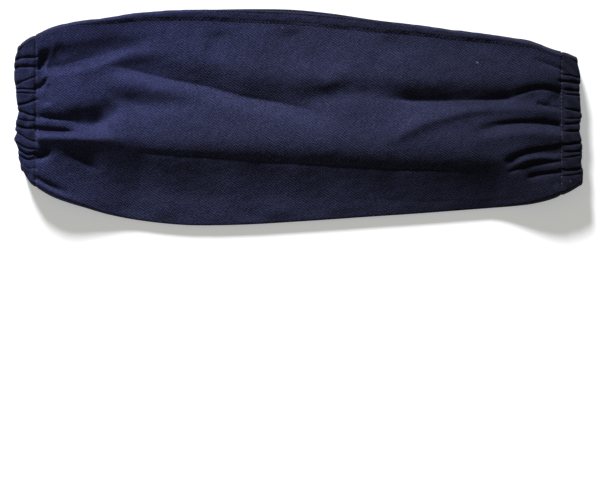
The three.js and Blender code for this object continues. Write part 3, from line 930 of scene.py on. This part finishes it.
@dataclass(frozen=True)
class FlameResistantTwill:
    """Piece-dyed flame-resistant cotton, woven as a 3/1 twill and washed: matt, with fuzz.

    The wale runs from the upper left to the lower right. Its real pitch is about 0.85 mm, which
    is finer than a pixel of the render, so it is drawn at 1.7 mm, where it shows as the slanting
    grain that the eye sees from a metre away. The cloth is bluer in its new part, near the bicep
    hem, and duller and darker towards the hand, where the darkening is painted shade for the light
    falling off. Where it turns over the long edge beyond the seam and faces the key light, painted
    shade darkens it.
    """

    name: str = "navy_twill"
    colour: str = "#262841"
    worn_colour: str = "#3f4267"
    deep_colour: str = "#0e0e17"
    tone_span: Pair = (0.77, 1.97)
    wale_pitch_mm: float = 1.7
    wale_angle: float = 56.0
    wale_weight: float = 0.40
    wale_height_mm: float = 0.40
    yarn_pitch_mm: float = 1.6
    yarn_weight: float = 0.26
    grain_mm: float = 1.19
    grain_stretch: float = 0.6
    grain_weight: float = 1.56
    slub_mm: float = 7.0
    slub_weight: float = 0.45
    wear_mm: float = 60.0
    wear_span: Pair = (0.3, 0.7)
    wear_tones: Pair = (0.93, 1.07)
    toward_hand: tuple[float, float, float] = (0.9, -0.8, 0.0)
    new_span: Pair = (-0.02, -0.20)
    new_tint: tuple[float, float, float] = (1.03, 1.09, 1.32)
    # Towards the hand the cloth is drawn duller and darker: the darkening is painted shade where the light falls
    # off.
    dulling_and_falloff_shade_span: Pair = (-0.02, 0.25)
    dulling_and_falloff_shade_tint: tuple[float, float, float] = (0.42, 0.41, 0.38)
    # Painted shade: darker where the surface faces +Y, towards the key light, on the far rolled edge.
    painted_edge_shade_span: Pair = (0.60, 0.95)
    painted_edge_shade_tone: float = 0.55
    lint_colour: str = "#7b7d99"
    lint_apart_mm: float = 27.0
    lint_span: Pair = (0.014, 0.030)
    lint_share: float = 0.50
    bump_strength: float = 0.9
    roughness: float = 0.95
    specular: float = 0.08
    sheen: float = 0.04
    sheen_roughness: float = 0.45

    def build(self) -> bpy.types.Material:
        """Builds the material."""
        material, tree = new_material(self.name)
        cloth = add_node(tree, "ShaderNodeAttribute", {"attribute_name": CLOTH_PLACE}, {})
        place = cloth.outputs["Vector"]
        turn = (0.0, 0.0, math.radians(-self.wale_angle))
        turned = add_node(tree, "ShaderNodeMapping", {}, {
            "Vector": place, "Rotation": turn}).outputs["Vector"]
        stretched = add_node(tree, "ShaderNodeMapping", {}, {
            "Vector": turned, "Scale": (1.0, self.grain_stretch, 1.0)}).outputs["Vector"]
        woven = self.weave(tree, turned, stretched)
        # The cloth's colour, with its painted shade towards the hand and on the edge that faces the key light.
        dyed = self.colour_and_painted_shade(tree, place, woven)
        cells = add_node(tree, "ShaderNodeTexVoronoi", {"feature": "F1"}, {
            "Vector": stretched, "Scale": 1 / (self.lint_apart_mm * MM)}).outputs["Distance"]
        lint = add_range(tree, cells, self.lint_span, (self.lint_share, 0.0))
        bump = add_node(tree, "ShaderNodeBump", {}, {
            "Strength": self.bump_strength,
            "Distance": self.wale_height_mm * MM,
            "Height": woven,
        }).outputs["Normal"]
        add_surface(tree, {
            "Base Color": add_mix(tree, "MIX", lint, dyed, linear_colour(self.lint_colour)),
            "Roughness": self.roughness,
            "Sheen Weight": self.sheen,
            "Sheen Roughness": self.sheen_roughness,
            "Specular IOR Level": self.specular,
            "Normal": bump,
        })
        return material

    def weave(self, tree: Tree, turned: Socket, stretched: Socket) -> Socket:
        """Adds the wale, the yarns that cross it and the grain.

        Args:
            tree: The node tree.
            turned: Places on the flat cloth, turned to the wale.
            stretched: The same places, drawn out along the wale.

        Returns:
            The height of the three together.
        """
        wale = add_bands(tree, turned, "X", self.wale_pitch_mm, {
            "Distortion": 3.4, "Detail": 2.0, "Detail Scale": 1.5, "Detail Roughness": 0.6})
        yarn = add_bands(tree, turned, "Y", self.yarn_pitch_mm, {
            "Distortion": 2.4, "Detail": 2.0, "Detail Scale": 0.5})
        grain = add_noise(tree, stretched, self.grain_mm, detail=3.0, roughness=0.65)
        height = add_scaled(tree, yarn, self.yarn_weight, 0.0)
        height = add_scaled(tree, wale, self.wale_weight, height)
        return add_scaled(tree, grain, self.grain_weight, height)

    def colour_and_painted_shade(self, tree: Tree, place: Socket, woven: Socket) -> Socket:
        """Adds the cloth's colour, with painted shade towards the hand and where its surface faces the key
        light.

        Args:
            tree: The node tree.
            place: Places on the flat cloth.
            woven: The height of the weave, which is light where it is high.

        Returns:
            The colour.
        """
        slub = add_noise(tree, place, self.slub_mm, detail=3.0, roughness=0.6)
        tone = add_scaled(tree, slub, self.slub_weight, woven)
        ramp = add_node(tree, "ShaderNodeValToRGB", {}, {
            "Fac": add_range(tree, tone, self.tone_span)})
        stops = ramp.color_ramp.elements
        stops[0].color = linear_colour(self.deep_colour)
        stops[1].color = linear_colour(self.worn_colour)
        stops.new(0.5).color = linear_colour(self.colour)
        wear = add_noise(tree, place, self.wear_mm, detail=2.0, roughness=0.5)
        wear = add_range(tree, wear, self.wear_span, self.wear_tones)
        along = add_node(tree, "ShaderNodeVectorMath", {"operation": "DOT_PRODUCT"}, {
            0: place, 1: self.toward_hand}).outputs["Value"]
        new_part = add_range(tree, along, self.new_span, kind="SMOOTHSTEP")
        # Duller and darker towards the hand: the darkening is painted shade where the light falls off.
        dulling_and_falloff_shade_part = add_range(tree, along, self.dulling_and_falloff_shade_span, kind="SMOOTHSTEP")
        tint = add_mix(tree, "MIX", new_part, WHITE, (*self.new_tint, 1.0))
        tint = add_mix(tree, "MIX", dulling_and_falloff_shade_part, tint, (*self.dulling_and_falloff_shade_tint, 1.0))
        # Painted shade: the colour darkens where the surface faces +Y, towards the key light, over the far
        # rolled edge.
        normal = add_node(tree, "ShaderNodeNewGeometry", {}, {}).outputs["Normal"]
        facing = add_node(tree, "ShaderNodeSeparateXYZ", {}, {"Vector": normal}).outputs["Y"]
        edge = add_range(tree, facing, self.painted_edge_shade_span, (1.0, self.painted_edge_shade_tone), kind="SMOOTHSTEP")
        colour = ramp.outputs["Color"]
        for tone in (wear, tint, edge):
            colour = add_mix(tree, "MULTIPLY", 1.0, colour, tone)
        return colour


@dataclass(frozen=True)
class RibbedFibre:
    """A matt fibre of one colour with fine ribs."""

    name: str
    colour: str
    direction: str
    rib_pitch_mm: float
    rib_height_mm: float
    rib_strength: float
    roughness: float
    sheen: float

    def build(self) -> bpy.types.Material:
        """Builds the material."""
        material, tree = new_material(self.name)
        place = add_node(tree, "ShaderNodeTexCoord", {}, {}).outputs["Object"]
        ribs = add_bands(tree, place, self.direction, self.rib_pitch_mm, {})
        bump = add_node(tree, "ShaderNodeBump", {}, {
            "Strength": self.rib_strength, "Distance": self.rib_height_mm * MM, "Height": ribs})
        add_surface(tree, {
            "Base Color": linear_colour(self.colour),
            "Roughness": self.roughness,
            "Sheen Weight": self.sheen,
            "Normal": bump.outputs["Normal"],
        })
        return material


@dataclass(frozen=True)
class WovenElastic(RibbedFibre):
    """Woven polyester and latex elastic: off-white, matt, ribbed along its length."""

    name: str = "woven_elastic"
    colour: str = "#d1cfc7"
    direction: str = "X"
    rib_pitch_mm: float = 1.2
    rib_height_mm: float = 0.2
    rib_strength: float = 0.6
    roughness: float = 0.8
    sheen: float = 0.0


@dataclass(frozen=True)
class SewingThread(RibbedFibre):
    """Spun aramid sewing thread dyed to the cloth: two plies, matt with a slight lustre."""

    name: str = "navy_thread"
    colour: str = "#181928"
    direction: str = "DIAGONAL"
    rib_pitch_mm: float = 0.7
    rib_height_mm: float = 0.1
    rib_strength: float = 0.5
    roughness: float = 0.7
    sheen: float = 0.1


@dataclass(frozen=True)
class StudioPaper:
    """Seamless white studio paper on a light table: matt, and lit a little from below.

    The glow keeps the sleeve's shadow light, on a floor that is nearly white.
    """

    name: str = "studio_paper"
    colour: str = "#f4f4f4"
    glow_colour: str = "#f3f4ff"
    glow: float = 0.355
    roughness: float = 0.9

    def build(self) -> bpy.types.Material:
        """Builds the material."""
        material, tree = new_material(self.name)
        add_surface(tree, {
            "Base Color": linear_colour(self.colour),
            "Roughness": self.roughness,
            "Emission Color": linear_colour(self.glow_colour),
            "Emission Strength": self.glow,
        })
        return material


@dataclass
class SleeveTube:
    """The body of the sleeve between the stitch lines, tucked a little under both hems.

    Its stations crowd towards the hems. The wall's inner face takes every other one of them in
    the zone of the pleats, and fewer between.
    """

    cloth: LaidSleeve
    stations: int = 400
    inside_every: int = 8
    pleat_zone: float = 24.0
    tuck: float = 0.9
    sink: float = 0.35
    crowding: float = 0.25

    def build(self, material: bpy.types.Material) -> bpy.types.Object:
        """Builds the tube with its wall of cloth.

        Args:
            material: The twill.

        Returns:
            The piece.
        """
        spots = RingSpots(upper=148, edge=9, lower=26)
        reach = self.cloth.stitch_line + self.tuck
        t = np.linspace(0, 1, self.stations)
        x = reach * (2 * t - 1 - self.crowding * np.sin(2 * math.pi * t) / math.pi)
        outer = self.cloth.rings(x, spots)
        tucked = smooth_step(self.cloth.stitch_line - self.tuck, reach, np.abs(x))[:, None]
        outer = press_in(outer, self.sink * tucked)
        number = np.arange(self.stations)
        pleated = np.abs(x) > self.cloth.stitch_line - self.pleat_zone
        every = number[np.where(pleated, number % 2 == 0, number % self.inside_every == 0)]
        every = np.unique(np.append(every, self.stations - 1))
        inner = press_in(outer[every], np.full(outer[every].shape[:2], self.cloth.cloth))[::-1]
        grid = np.concatenate([outer, inner])
        faces = ring_faces(len(grid), len(spots), closed=True)
        piece = new_mesh("tube_cloth", grid, faces, material, flat=laid_flat(grid, spots.upper))
        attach(piece, BODY)
        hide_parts("sleeve_tube")
        return piece


@dataclass
class HemCasing:
    """The turned hem at one mouth: outer leg, fold and inner leg round the elastic's channel.

    The inner leg waves unevenly. It lies on the outer leg at the stitch line and is clear of it
    from the join share on. The steps say how many parts each stretch of the profile has.
    """

    cloth: LaidSleeve
    side: Side
    thickness: float = 6.2
    fold: float = 1.9
    end_wall: float = 4.8
    inner_wave: float = 0.7
    inner_wave_length: float = 11.0
    inner_wave_seed: int = 21
    inner_lowest: float = -0.3
    inner_width: float = 120.0
    layers_apart: float = 6.0
    overlap: float = 0.2
    join_share: float = 0.16
    leg_steps: int = 12
    back_steps: int = 6
    turn_steps: int = 8
    channel_every: int = 4

    def build(self, material: bpy.types.Material) -> bpy.types.Object:
        """Builds the hem.

        Args:
            material: The twill.

        Returns:
            The piece.
        """
        spots = RingSpots(*HEM_SPOTS)
        rows = self.profile(spots, self.cloth.mouth(self.side, spots))
        grid = np.stack(rows if self.side is Side.WRIST else rows[::-1])
        faces = ring_faces(len(grid), len(spots), closed=True)
        name = f"{self.side.name.lower()}_hem_cloth"
        piece = new_mesh(name, grid, faces, material, flat=laid_flat(grid, spots.upper))
        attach(piece, BODY)
        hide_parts(f"{self.side.name.lower()}_casing")
        return piece

    def profile(self, spots: RingSpots, mouth: Array) -> list[Array]:
        """The hem's rings, in order round its wall.

        Args:
            spots: The places round each ring.
            mouth: How far the mouth's fold reaches at each place.

        Returns:
            The rings, from the stitch line over the outer leg, round the fold, back along the
            inner leg and then along the channel's own faces.
        """
        cloth, end = self.cloth, self.side.value
        start = cloth.stitch_line - self.overlap
        flat_end = cloth.length / 2 - self.fold
        leg = np.linspace(0, 1, self.leg_steps + 1)
        back = np.linspace(1, 0, self.back_steps + 1)
        turn = np.linspace(0, math.pi, self.turn_steps + 1)[1:-1]
        outer = cloth.rings(end * (start + (flat_end - start) * leg), spots)
        reach = mouth - self.fold
        around, layer = spots.across() * self.inner_width, spots.layer * self.layers_apart
        waves = ripple(around, layer, self.inner_wave_length, self.inner_wave_seed + end)
        waves = self.inner_wave * np.maximum(waves, self.inner_lowest)

        def placed(loop: Array, share: float, beyond: float = 0.0) -> Array:
            """One ring, moved to its own X at each place."""
            return along_hem(loop, self.side, start, (reach - start) * share + beyond)

        def lined(share: float, cover: float) -> Array:
            """One ring of the inner leg, with so much cloth between it and the hollow."""
            station = end * np.array([start + (flat_end - start) * share])
            plain = cloth.rings(station, spots, gathers=False)[0]
            nested = toward_middle(plain, self.thickness - cover, self.end_wall - cover)
            level = cloth.hem_roll
            narrowed = 1 - waves / (level - self.thickness + cover)
            nested[:, 2] = level + (nested[:, 2] - level) * narrowed
            layers = 2 * cloth.cloth - cover
            joined = toward_middle(outer[round(share * self.leg_steps)], layers, layers)
            apart = float(smooth_step(0.0, self.join_share, np.array(share)))
            return apart * nested + (1 - apart) * joined

        def folded(face: list | Array, cover: float, angles: Array) -> list[Array]:
            """The rings round the fold, from one face's last ring to the inner leg."""
            found = []
            for angle in angles:
                fading = 0.5 * (1 + math.cos(angle))
                ring = fading * face[-1] + (1 - fading) * lined(1.0, cover)
                found.append(placed(ring, 1.0, (self.fold - cover) * math.sin(angle)))
            return found

        under = [press_in(ring[None], np.full((1, len(ring)), cloth.cloth))[0] for ring in outer]
        channel = range(self.leg_steps, -1, -self.channel_every)
        return [
            *(placed(ring, share) for ring, share in zip(outer, leg)),
            *folded(outer, 0.0, turn),
            *(placed(lined(share, 0.0), share) for share in back),
            *(placed(lined(share, cloth.cloth), share) for share in back[::-1]),
            *folded(under, cloth.cloth, turn[::-2]),
            *(placed(under[i], leg[i]) for i in channel),
        ]


@dataclass
class ElasticBand:
    """The elastic band in a hem's channel, which follows the uneven mouth."""

    cloth: LaidSleeve
    side: Side
    width: float = 9.5
    thickness: float = 1.2
    drop: float = 3.5
    inset: float = 1.7
    from_stitch: float = 2.6
    ribs: int = 4
    rib_height: float = 0.10
    steps: int = 16

    def build(self, material: bpy.types.Material) -> bpy.types.Object:
        """Builds the band with its ribs.

        Args:
            material: The elastic.

        Returns:
            The piece.
        """
        spots = RingSpots(upper=60, edge=12, lower=50)
        near = self.cloth.stitch_line + self.from_stitch
        shares = np.linspace(0, 1, self.steps + 1)
        stations = self.side.value * (near + self.width * shares)
        face = self.cloth.rings(stations, spots, gathers=False)
        narrowed = (self.cloth.mouth(self.side, spots) - near) / (self.cloth.length / 2 - near)
        outside, inside = [], []
        for ring, share in zip(face, shares):
            ring = along_hem(ring, self.side, near, self.width * share * narrowed)
            rib = self.rib_height * (1 - math.cos(2 * math.pi * self.ribs * share))
            back = self.thickness - rib
            outside.append(toward_middle(ring, self.drop + rib, self.inset + rib))
            inside.append(toward_middle(ring, self.drop + back, self.inset + back))
        rows = outside + inside[::-1]
        grid = np.stack(rows if self.side is Side.WRIST else rows[::-1])
        faces = ring_faces(len(grid), len(spots), closed=True)
        piece = new_mesh(f"{self.side.name.lower()}_band", grid, faces, material)
        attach(piece, BODY)
        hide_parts(f"{self.side.name.lower()}_elastic")
        return piece


@dataclass
class SideSeam:
    """The felled seam along the far edge: a flat strip of turned cloth with two stitch rows.

    The strip swells between its rows, tapers to both edges and sinks under the hems at its ends.
    The last tuple has the places across it, as shares of its width from the inner edge.
    """

    cloth: LaidSleeve
    width: float = 10.0
    lift: float = 0.12
    stations: int = 520
    rows_at: tuple[float, float] = (1.5, 7.7)
    row_depth: float = 0.26
    row_width: float = 0.7
    swell: float = 0.68
    least_swell: float = 0.25
    inner_taper: float = 2.8
    outer_taper: float = 0.5
    end_fade: float = 16.0
    end_sink: float = 0.8
    end_gap: float = 0.4
    quarter_girth: float = 1.22
    shares_across: tuple[float, ...] = (
        1.0, 0.985, 0.94, 0.86, 0.80, 0.77, 0.74, 0.66, 0.55,
        0.44, 0.32, 0.22, 0.18, 0.15, 0.12, 0.06, 0.02, 0.0,
    )

    def face(self, x: Array, from_edge: Array, height: Array) -> Array:
        """Places on the cloth beside the seam's inner edge, lifted off it.

        Args:
            x: Places along the sleeve.
            from_edge: Distances over the cloth from the seam's inner edge, outward.
            height: How far each place stands off the cloth.

        Returns:
            The points.
        """
        cloth = self.cloth
        far, near, roll, near_roll, _ = cloth.roll_centres(x)
        quarter = self.quarter_girth * roll
        seen = read_table(SEAM_COURSE, 1, x / cloth.length + 0.5) * self.width
        inset = seen + quarter - cloth.squash * roll - from_edge
        angle = math.pi / 2 * np.minimum(1.0, inset / quarter)
        onward = np.maximum(0.0, inset - quarter)
        y = far + (cloth.squash * roll + height) * np.cos(angle) - onward
        tilt = 2 * (near_roll - roll) * onward / (far - near)
        rise = np.where(onward > 0, sum(cloth.upper_rise(x, y)) + tilt, 0.0)
        return np.stack([x, y, roll + (roll + height) * np.sin(angle) + rise], axis=-1)

    def pucker(self, x: Array, from_edge: Array) -> Array:
        """The swell of the strip between its stitches.

        Args:
            x: Places along the sleeve.
            from_edge: Distances from the seam's inner edge.

        Returns:
            The height of the strip over its lift.
        """
        full = self.swell + sum(waves.at(x, from_edge) for waves in SEAM_SWELLS)
        for row in self.rows_at:
            from_row = (from_edge - row) / self.row_width
            full = full - self.row_depth * np.exp(-from_row * from_row)
        inner = smooth_step(0, self.inner_taper, from_edge)
        outer = np.sqrt(np.clip((self.width - from_edge) / self.outer_taper, 0, 1))
        reach = self.cloth.stitch_line
        sunk = 1 - self.end_sink * smooth_step(reach - self.end_fade, reach - 1, np.abs(x))
        return np.maximum(full, self.least_swell) * inner * outer * sunk

    def build(self, material: bpy.types.Material) -> bpy.types.Object:
        """Builds the strip.

        Args:
            material: The twill.

        Returns:
            The piece.
        """
        reach = self.cloth.stitch_line - self.end_gap
        x = np.linspace(-reach, reach, self.stations)[:, None]
        from_edge = np.array(self.shares_across)[None, :] * self.width
        wide_x, wide_edge = np.broadcast_arrays(x, from_edge)
        top = self.face(wide_x, wide_edge, self.lift + self.pucker(wide_x, wide_edge))
        under_edge = wide_edge[:, ::-3]
        under = self.face(wide_x[:, ::-3], under_edge, np.full(under_edge.shape, -self.lift))
        grid = np.concatenate([top, under], axis=1)
        flat = np.zeros_like(grid)
        flat[..., 0] = grid[..., 0]
        flat[..., 1] = np.concatenate([wide_edge, under_edge], axis=1) + self.cloth.flat_width / 2
        sections, around = grid.shape[:2]
        faces = ring_faces(sections, around, closed=False).tolist()
        faces.append(list(range(around - 1, -1, -1)))
        faces.append([(sections - 1) * around + j for j in range(around)])
        piece = new_mesh("seam_strip", grid, faces, material, flat=flat)
        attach(piece, BODY)
        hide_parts("side_seam")
        return piece


@dataclass
class StitchRow:
    """A row of lockstitches laid along a line on the cloth.

    Each stitch is a short thread that dips at its ends. How deep it is buried wanders from one
    stitch to the next.
    """

    name: str
    line: Array
    normals: Array
    pitch: float = 3.0
    gap: float = 0.7
    radius: float = 0.22
    buried: float = 0.20
    closed: bool = False
    sides: int = 6
    steps: int = 7
    end_share: float = 0.04
    crown: float = 1.6
    level: float = 0.75
    sink_turn: float = 2.4
    sink_wander: float = 1.7
    wander_turn: float = 0.7

    def build(self, material: bpy.types.Material) -> bpy.types.Object:
        """Builds the row as one mesh of short threads.

        Args:
            material: The thread.

        Returns:
            The piece.
        """
        course = np.hstack([self.line, self.normals])
        course = np.vstack([course, course[:1]]) if self.closed else course
        lengths = np.linalg.norm(np.diff(course[:, :3], axis=0), axis=1)
        lengths = np.concatenate([[0], np.cumsum(lengths)])
        count = int(lengths[-1] // self.pitch)
        t = np.linspace(0, 1, self.steps)
        inside = self.end_share + t * (1 - 2 * self.end_share)
        bulge = np.sqrt(np.sin(math.pi * inside))[:, None]
        points, faces = [], []
        for k in range(count):
            at = (k + 0.5) * lengths[-1] / count + (t - 0.5) * (self.pitch - self.gap)
            found = np.stack([np.interp(at, lengths, values) for values in course.T], axis=1)
            centre, normal = found[:, :3], unit(found[:, 3:])
            side = np.cross(unit(np.gradient(centre, axis=0)), normal)
            turn = self.sink_turn * k + self.sink_wander * math.sin(self.wander_turn * k)
            sunk = self.buried * (0.5 + 0.5 * math.sin(turn))
            centre = centre + normal * ((bulge - self.level) * self.radius * self.crown - sunk)
            for a in range(self.sides):
                angle = 2 * math.pi * a / self.sides
                spoke = side * math.cos(angle) + normal * math.sin(angle)
                points.append(centre + spoke * self.radius * bulge)
            base = k * self.steps * self.sides
            faces.extend((ring_faces(self.steps, self.sides, closed=False) + base).tolist())
            faces.append([base + a for a in range(self.sides)][::-1])
            faces.append([base + (self.steps - 1) * self.sides + a for a in range(self.sides)])
        grid = np.array(points).reshape(count, self.sides, self.steps, 3).swapaxes(1, 2)
        piece = new_mesh(self.name, grid, faces, material)
        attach(piece, BODY)
        return piece


@dataclass
class Studio:
    """The pale floor, the lights and the camera straight above the photograph's frame."""

    floor_size_m: float = 6.0
    floor_drop_mm: float = 0.05
    lens_mm: float = 150.0
    sensor_mm: float = 36.0
    focus_height_mm: float = 5.0
    clip_end_m: float = 100.0
    world_strength: float = 0.09
    key_colour: tuple[float, float, float] = (0.99, 1.0, 1.05)
    room_colour: tuple[float, float, float] = (1.0, 0.98, 0.64)

    def build(self) -> None:
        """Builds the whole studio."""
        self.floor()
        self.camera()
        self.lights()

    def floor(self) -> None:
        """Lays the paper under the sleeve."""
        half = self.floor_size_m / 2 / MM
        corners = np.array([(x, y, -self.floor_drop_mm) for x, y in (
            (-half, -half), (half, -half), (half, half), (-half, half))])
        paper = StudioPaper().build()
        floor = new_mesh("paper_floor", corners, [[0, 1, 2, 3]], paper, smooth=False)

    def camera(self) -> None:
        """Sets the camera above the middle of the photograph's frame, looking straight down."""
        middle_x = (PHOTO_WIDTH_PX / 2 - SLEEVE_MIDDLE_PX[0]) * MM_PER_PX
        middle_y = (SLEEVE_MIDDLE_PX[1] - PHOTO_HEIGHT_PX / 2) * MM_PER_PX
        distance = PHOTO_WIDTH_PX * MM_PER_PX * self.lens_mm / self.sensor_mm
        data = bpy.data.cameras.new("photo_camera")
        data.lens = self.lens_mm
        data.sensor_width = self.sensor_mm
        data.sensor_fit = "HORIZONTAL"
        data.clip_end = self.clip_end_m
        camera = bpy.data.objects.new("photo_camera", data)
        camera.location = Vector((middle_x, middle_y, distance + self.focus_height_mm)) * MM
        bpy.context.scene.collection.objects.link(camera)
        bpy.context.scene.camera = camera

    def lights(self) -> None:
        """Sets a low soft key beyond the far edge, a weak fill, and an even pale surround."""
        scene = bpy.context.scene
        world = bpy.data.worlds.new("studio")
        world.use_nodes = True
        background = world.node_tree.nodes["Background"]
        background.inputs["Color"].default_value = (*self.room_colour, 1.0)
        background.inputs["Strength"].default_value = self.world_strength
        scene.world = world
        scene.view_settings.view_transform = "Standard"
        scene.view_settings.look = "None"
        self.sun("key", self.key_colour, azimuth=108, elevation=23, strength=6.8, spread=11)
        self.sun("fill", self.room_colour, azimuth=200, elevation=80, strength=0.25, spread=90)

    def sun(
        self, name: str, colour: tuple[float, float, float],
        azimuth: float, elevation: float, strength: float, spread: float,
    ) -> None:
        """Adds a soft far light.

        Args:
            name: The light's name.
            colour: Its colour.
            azimuth: Where it stands, in degrees from +X towards +Y.
            elevation: How high it stands, in degrees.
            strength: Its strength.
            spread: The angle that it fills in the sky, in degrees.
        """
        data = bpy.data.lights.new(name, "SUN")
        data.color = colour
        data.energy = strength
        data.angle = math.radians(spread)
        light = bpy.data.objects.new(name, data)
        flat = math.cos(math.radians(elevation))
        towards = Vector((
            flat * math.cos(math.radians(azimuth)),
            flat * math.sin(math.radians(azimuth)),
            math.sin(math.radians(elevation)),
        ))
        light.rotation_euler = towards.to_track_quat("Z", "Y").to_euler()
        bpy.context.scene.collection.objects.link(light)


def hem_stitches(cloth: LaidSleeve, side: Side) -> StitchRow:
    """The stitch row round one hem.

    Args:
        cloth: The laid sleeve.
        side: Which hem.

    Returns:
        The row, not yet built.
    """
    x = side.value * (cloth.stitch_line + STITCH_PAST_LINE)
    loop = cloth.rings(np.array([x]), RingSpots(*HEM_SPOTS))[0]
    along = np.roll(loop, -1, axis=0) - np.roll(loop, 1, axis=0)
    normals = unit(np.cross(along, np.array([1.0, 0.0, 0.0])))
    way = side.value
    name = f"{side.name.lower()}_hem_stitches"
    return StitchRow(name, loop[::way], normals[::way], pitch=2.8, closed=True)


def seam_stitches(seam: SideSeam, number: int) -> StitchRow:
    """One of the stitch rows along the felled seam.

    Args:
        seam: The seam.
        number: Which of its rows.

    Returns:
        The row, not yet built.
    """
    reach = seam.cloth.stitch_line - SEAM_ROW_GAP
    x = np.linspace(-reach, reach, SEAM_ROW_STEPS)
    from_edge = np.full(x.shape, seam.rows_at[number])
    height = seam.lift + seam.pucker(x, from_edge)
    line = seam.face(x, from_edge, height)
    normals = unit(seam.face(x, from_edge, height + 1.0) - line)
    return StitchRow(f"seam_stitches_{number + 1}", line, normals)


def main() -> None:
    """Builds every piece in order and reports it."""
    logging.basicConfig(level=logging.INFO, format="%(message)s")
    low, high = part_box("sleeve_tube")
    length = (CAD_BOX[1][0] - CAD_BOX[0][0]) / MM
    cloth = LaidSleeve(length=length, flat_width=(high[1] - low[1]) / MM)
    twill = FlameResistantTwill().build()
    seam_twill = FlameResistantTwill(
        name="seam_twill", colour="#24263d", worn_colour="#3b3d60", deep_colour="#0d0d15").build()
    # The hems' twill is drawn darker than the body's: painted shade over the gathered hems.
    hem_twill = FlameResistantTwill(
        name="hem_twill", colour="#212338", worn_colour="#373a5b", deep_colour="#0c0c13").build()
    thread = SewingThread().build()
    worn_thread = SewingThread(name="worn_thread", colour="#40425f").build()
    elastic = WovenElastic().build()

    Studio().build()
    tube = SleeveTube(cloth).build(twill)
    seam = SideSeam(cloth)
    strip = seam.build(seam_twill)
    seam_rows = [seam_stitches(seam, number).build(thread) for number in range(len(seam.rows_at))]
    pieces = [tube, strip, *seam_rows]
    for side in Side:
        band = ElasticBand(cloth, side).build(elastic)
        hem = HemCasing(cloth, side).build(hem_twill)
        row = hem_stitches(cloth, side).build(worn_thread if side is Side.WRIST else thread)
        pieces += [band, hem, row]
    for piece in pieces:
        LOG.info("%s: %d faces", piece.name, len(piece.data.polygons))


if __name__ == "__main__":
    main()
